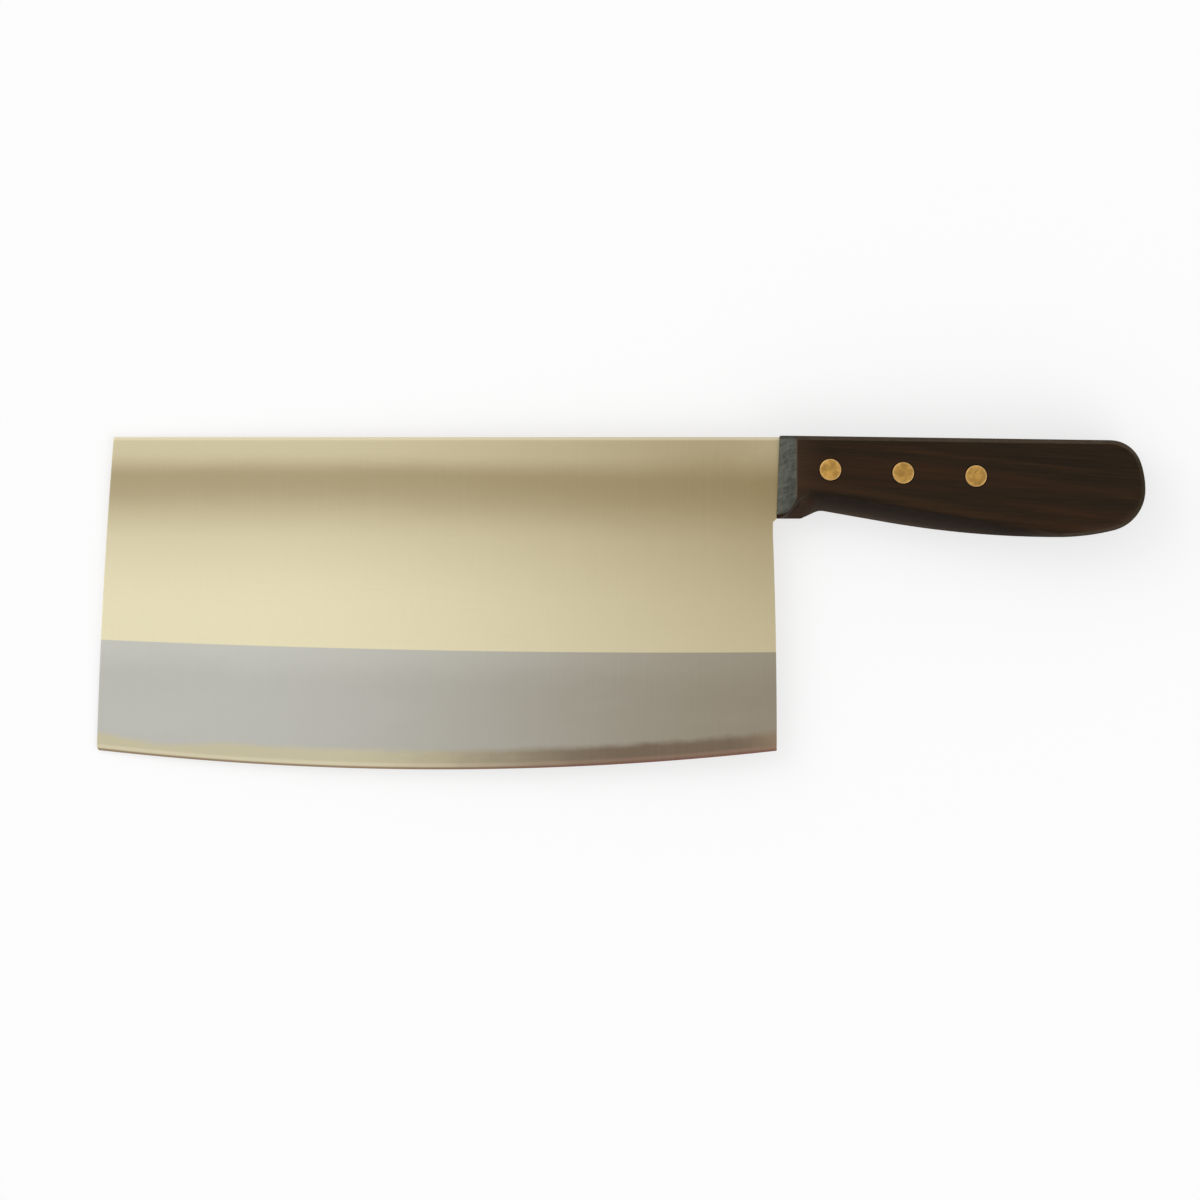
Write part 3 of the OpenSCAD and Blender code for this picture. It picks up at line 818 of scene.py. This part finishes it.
def wood_paint():
    """Dark oiled rosewood: soft streaks and fine grain along the handle, rims lightened by
    painted sheen, an underside darkened by painted shade and paler lower down by painted
    reflection, and grey end grain with curved streaks on the front's facet, partly painted
    sheen. The surface's own normal tells the side, the bevels and the rims apart."""
    material = bpy.data.materials.new("rosewood_oiled")
    paint = Paint(material)
    place = paint.place()
    x, y, z = paint.parts(place)
    height = abs(z)
    nx, ny, nz = paint.parts(paint.node("TexCoord", output="Normal"))
    grain = paint.place(turn=3)
    fibres = paint.noise(grain, (18, 0.3, 0.5), 4, 0.6, 0.3)
    pores = paint.noise(grain, (4, 0.11, 0.2), 2, 0.6)
    bands = paint.noise(grain, (110, 4.5, 6), 2, 0.5, 0.4)
    streaks = paint.noise(paint.place(turn=6), (70, 2.6, 4), 3, 0.5, 0.5)
    mottle = paint.noise(place, (2.5, 1.6, 2), 3, 0.6)
    wave = paint.noise(place, (30, 4, 4), 3) * 6

    # Flat side: bands and streaks, two long streaks low down, a warmer front, and wear
    # where the palm rubs
    side = paint.mix(paint.step(bands, 0.38, 0.64), tone(33, 24, 11), tone(45, 28, 14))
    side = paint.mix(paint.step(streaks, 0.5, 0.68) * 0.36, side, tone(60, 37, 20))
    side = paint.mix(paint.step(streaks, 0.46, 0.32) * 0.4, side, tone(26, 19, 9))
    along_low = y + x * LOW_STREAK_SLOPE
    light_streak = paint.bell(along_low + (bands - 0.5) * 3, LIGHT_STREAK_Y, 2.6)
    side = paint.mix(light_streak * paint.step(x, 85, 40) * 0.45, side, tone(62, 40, 23))
    dark_streak = paint.bell(along_low + (bands - 0.5) * 2, DARK_STREAK_Y, 2.0)
    side = paint.mix(dark_streak * paint.step(x, 95, 60) * 0.6, side, tone(20, 12, 6))
    side = paint.mix(paint.step(x + wave, 20, 7) * 0.5, side, tone(68, 49, 35))
    palm = paint.step(paint.apart(place, PALM_MIDDLE), 13, 17) * paint.step(y, -20, -27)
    side = paint.mix(palm * paint.step(x, 98, 108) * mottle * 0.7, side, tone(84, 64, 50))

    # Underside: painted shade, dark next to the flat side, and paler towards the middle
    # where a painted reflection of light from below lightens it
    shade_below_side = paint.step(height + streaks * 2, 9.6, 4.5)
    under = paint.mix(shade_below_side, tone(26, 17, 9), tone(47, 36, 27))
    pale_reflection = paint.step(height + mottle, 5.6, 3.0) * (paint.step(x, 11, 26) * 0.45 + 0.15)
    under = paint.mix(pale_reflection, under, tone(80, 68, 57))
    under = paint.mix(paint.step(x + height, 20, 12) * 0.4, under, tone(56, 34, 24))

    # Rims lightened by painted sheen where they turn towards the light: under the palm, round
    # the butt and along the top. The underside's painted shade goes on where the surface faces
    # down, and the top wall itself goes half back to a darker brown.
    rim_sheen = paint.mix(mottle, tone(60, 48, 34), tone(92, 80, 66))
    butt = paint.mix(mottle, tone(44, 37, 20), tone(66, 56, 38))
    downward = paint.step(-ny, 0.2, 0.6)
    colour = paint.mix(downward * (paint.step(x, 8, 17) * 0.75 + 0.25), side, under)
    colour = paint.mix(downward * paint.step(x, 78, 98) * 0.7, colour, rim_sheen)
    colour = paint.mix(paint.step(nx, 0.15, 0.5) * 0.6, colour, butt)
    colour = paint.mix(paint.step(ny, 0.15, 0.5) * 0.8, colour, rim_sheen)
    colour = paint.mix(paint.step(ny, 0.95, 1.0) * 0.5, colour, tone(52, 38, 26))

    # Facet: grey end grain that is partly painted sheen, a painted shadow line below it and a
    # painted highlight on the arris beside it
    swirl = paint.noise(paint.place(turn=62), (1.1, 6, 6), 4, 0.55, 1.2)
    dust = paint.noise(place, (3, 5, 3), 3, 0.6)
    end_share = paint.step(swirl, 0.34, 0.68) * 0.38 + paint.step(dust, 0.3, 0.7) * 0.32
    end_share = end_share + paint.step(x + y * -0.2, 9, 1) * 0.25
    end_grain_and_sheen = paint.mix(end_share, tone(62, 66, 61), tone(120, 122, 113))
    end_grain_and_sheen = paint.mix(paint.step(y, -0.9, -0.2) * 0.5, end_grain_and_sheen, tone(38, 34, 28))
    across = (x - FACET_MIDDLE[0]) / FACET_REACH[0]
    down = paint.maths("MINIMUM", y - FACET_MIDDLE[1], 0) / FACET_REACH[1]
    from_middle = paint.maths("SQRT", across * across + down * down)
    shadow = paint.bell(from_middle, 1.15, 0.14) * paint.step(y, -20.3, -22)
    colour = paint.mix(shadow * 0.65, colour, tone(14, 9, 6))
    on_facet = paint.step(-nx, 0.3, 0.6) * paint.step(ny, -0.7, -0.5)
    colour = paint.mix(on_facet * paint.step(from_middle, 1.07, 0.97), colour, end_grain_and_sheen)
    facet_arris_highlight = paint.bell(x, 6.1, 0.5) * paint.step(y, -21, -19) * paint.step(y, -0.5, -1.5)
    colour = paint.mix(facet_arris_highlight * 0.35, colour, tone(120, 112, 98))

    # Dark rings round the rivets, then fibres and pores over all
    face = paint.step(nz * nz, 0.8, 0.98)
    for index in range(len(RIVET_PLACES)):
        ring = paint.step(paint.apart(place, rivet_at(index)), HEAD_R + 0.6, HEAD_R + 0.1)
        colour = paint.mix(ring * face * 0.7, colour, tone(18, 10, 5))
    colour = paint.mix(paint.step(fibres, 0.45, 0.75) * 0.22, colour, tone(80, 56, 36))
    colour = paint.mix(paint.step(pores, 0.55, 0.75) * 0.45, colour, tone(14, 9, 5))
    rough = fibres * 0.12 + streaks * -0.08 + 0.5
    normal = paint.bump(fibres * 0.5 + pores * -0.5, 0.025)
    paint.finish(Base_Color=colour, Roughness=rough, Normal=normal, Specular_IOR_Level=0.08)
    return material


# How much darker the brass of each rivet is
BRASS_TARNISH = (0, 0.2, 0.1)


def brass_paint(name, index):
    """Worn brass: mottled patches, polishing scratches and a lighter rim that is a painted
    highlight.
    """
    material = bpy.data.materials.new(name)
    paint = Paint(material)
    place = paint.place()
    patches = paint.noise(place, (2.2, 2.2, 2.2), 4, 0.6, 0.5)
    scratches = paint.noise(paint.place(turn=20 + 50 * index), (4, 0.08, 1), 3, 0.6)
    colour = paint.mix(paint.step(patches, 0.35, 0.68), tone(150, 114, 57), tone(184, 142, 73))
    colour = paint.mix(BRASS_TARNISH[index], colour, tone(112, 80, 36))
    out = paint.apart(place, rivet_at(index))
    # The lighter rim is a painted highlight on the head's rounded edge
    rim = paint.step(out + patches, HEAD_R - 0.5, HEAD_R + 0.3)
    colour = paint.mix(rim * 0.6, colour, tone(196, 157, 102))
    colour = paint.mix(paint.step(scratches, 0.5, 0.8) * 0.25, colour, tone(214, 180, 122))
    rough = 0.3 + patches * 0.15
    normal = paint.bump(scratches * 0.6 + patches * 0.4, 0.01)
    paint.finish(Base_Color=colour, Metallic=1.0, Roughness=rough, Normal=normal)
    return material


# The pieces

def stand_in(piece, material_slot, *nodes):
    """The piece takes the place of CAD nodes and rides with them."""
    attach(piece, "root")
    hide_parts(*nodes)


steel = steel_paint()
wood = wood_paint()
blade = piece_of("blade_steel", blade_mesh(), steel)
shade(blade)
stand_in(blade, "steel", "blade")

handle = piece_of("handle_wood", handle_mesh(), wood)
cut(handle, slot_cutter(), *(bore_cutter(index) for index in range(len(RIVET_PLACES))))
shade(handle)
stand_in(handle, "rosewood", "handle")

for index, place in enumerate(RIVET_PLACES):
    for kind, make in (("tube", tube_mesh), ("post", post_mesh)):
        name = f"{place}_rivet_{kind}"
        brass = brass_paint(f"brass_{place}_{kind}", index)
        rivet = piece_of(f"{name}_brass", make(f"{name}_brass", index), brass)
        shade(rivet)
        stand_in(rivet, "brass", name)


# Floor, light and camera, in metres in the row's frame

# The cleaver lies tipped on its nose: the floor touches the nose and the handle's lower
# front arris
NOSE_FLOOR_X, HANDLE_FLOOR_X = -0.1714, 0.0581
STEEL_FLOOR = (handle_low[2] + HANDLE_HALF - STEEL_HALF) * METRES
FLOOR_REACH, FLOOR_GAP = 8.0, 0.00005
# Glow of the floor for what the camera sees, and the floor's grey under the lamps
FLOOR_GLOW, FLOOR_GREY = 0.62, 0.4
# Strength of the world for what it lights. To the camera it is 1, which is white.
WORLD_LIGHT = 0.6
# The photograph's frame at the height of the steel
FRAME_WIDTH, FRAME_MIDDLE = 0.3971, (-0.00695, 0.00085)
CAMERA_ABOVE = 12.0


def floor_piece():
    """A wide floor as one plane through the two places where the cleaver rests."""
    slope = STEEL_FLOOR / (NOSE_FLOOR_X - HANDLE_FLOOR_X)
    corners = FLOOR_REACH * np.array([[-1, -1], [1, -1], [1, 1], [-1, 1]])
    height = (corners[:, 0] - HANDLE_FLOOR_X) * slope - FLOOR_GAP
    mesh = bpy.data.meshes.new("floor")
    mesh.from_pydata(np.c_[corners, height].tolist(), [], [(0, 1, 2, 3)])
    material = bpy.data.materials.new("floor_white")
    paint = Paint(material)
    matt = paint.node("BsdfDiffuse", {}, {"Color": (FLOOR_GREY, FLOOR_GREY, FLOOR_GREY, 1)})
    glow = paint.node("Emission", {}, {"Strength": paint.seen() * FLOOR_GLOW})
    surface = paint.node("AddShader", {}, {0: matt, 1: glow})
    paint.node("OutputMaterial", {}, {"Surface": surface})
    piece_of("floor", mesh, material)


def studio_world():
    """White to the camera and to reflections, and softer for what the world lights."""
    world = bpy.data.worlds.new("studio")
    bpy.context.scene.world = world
    paint = Paint(world)
    strength = paint.seen() * (1 - WORLD_LIGHT) + WORLD_LIGHT
    light = paint.node("Background", {}, {"Color": (1, 1, 1, 1), "Strength": strength})
    paint.node("OutputWorld", {}, {"Surface": light})


def soft_lamp(name, place, aim, size, power):
    """A square softbox at place that faces aim and that the camera doesn't see, its size
    in metres and its power in watts."""
    lamp = bpy.data.lights.new(name, "AREA")
    lamp.shape, lamp.size, lamp.energy = "SQUARE", size, power
    holder = bpy.data.objects.new(name, lamp)
    holder.location = place
    towards = Vector(aim) - Vector(place)
    holder.rotation_euler = towards.to_track_quat("-Z", "Y").to_euler()
    holder.visible_camera = False
    bpy.context.scene.collection.objects.link(holder)


def photo_camera():
    """A long lens straight above the cleaver, which takes in the photograph's frame at
    the height of the steel."""
    lens = bpy.data.cameras.new("camera")
    lens.sensor_width = 36.0
    lens.lens = lens.sensor_width * CAMERA_ABOVE / FRAME_WIDTH
    lens.clip_end = 50.0
    camera = bpy.data.objects.new("camera", lens)
    camera.location = (*FRAME_MIDDLE, ORIGIN[2] * METRES + CAMERA_ABOVE)
    bpy.context.scene.collection.objects.link(camera)
    bpy.context.scene.camera = camera


floor_piece()
studio_world()
soft_lamp("key", (-1.4, 1.2, 1.9), (0, 0, 0), 2.2, 20.0)
soft_lamp("fill", (1.6, -1.1, 1.7), (0, 0, 0), 2.0, 15.0)
photo_camera()
bpy.context.scene.view_settings.view_transform = "Standard"
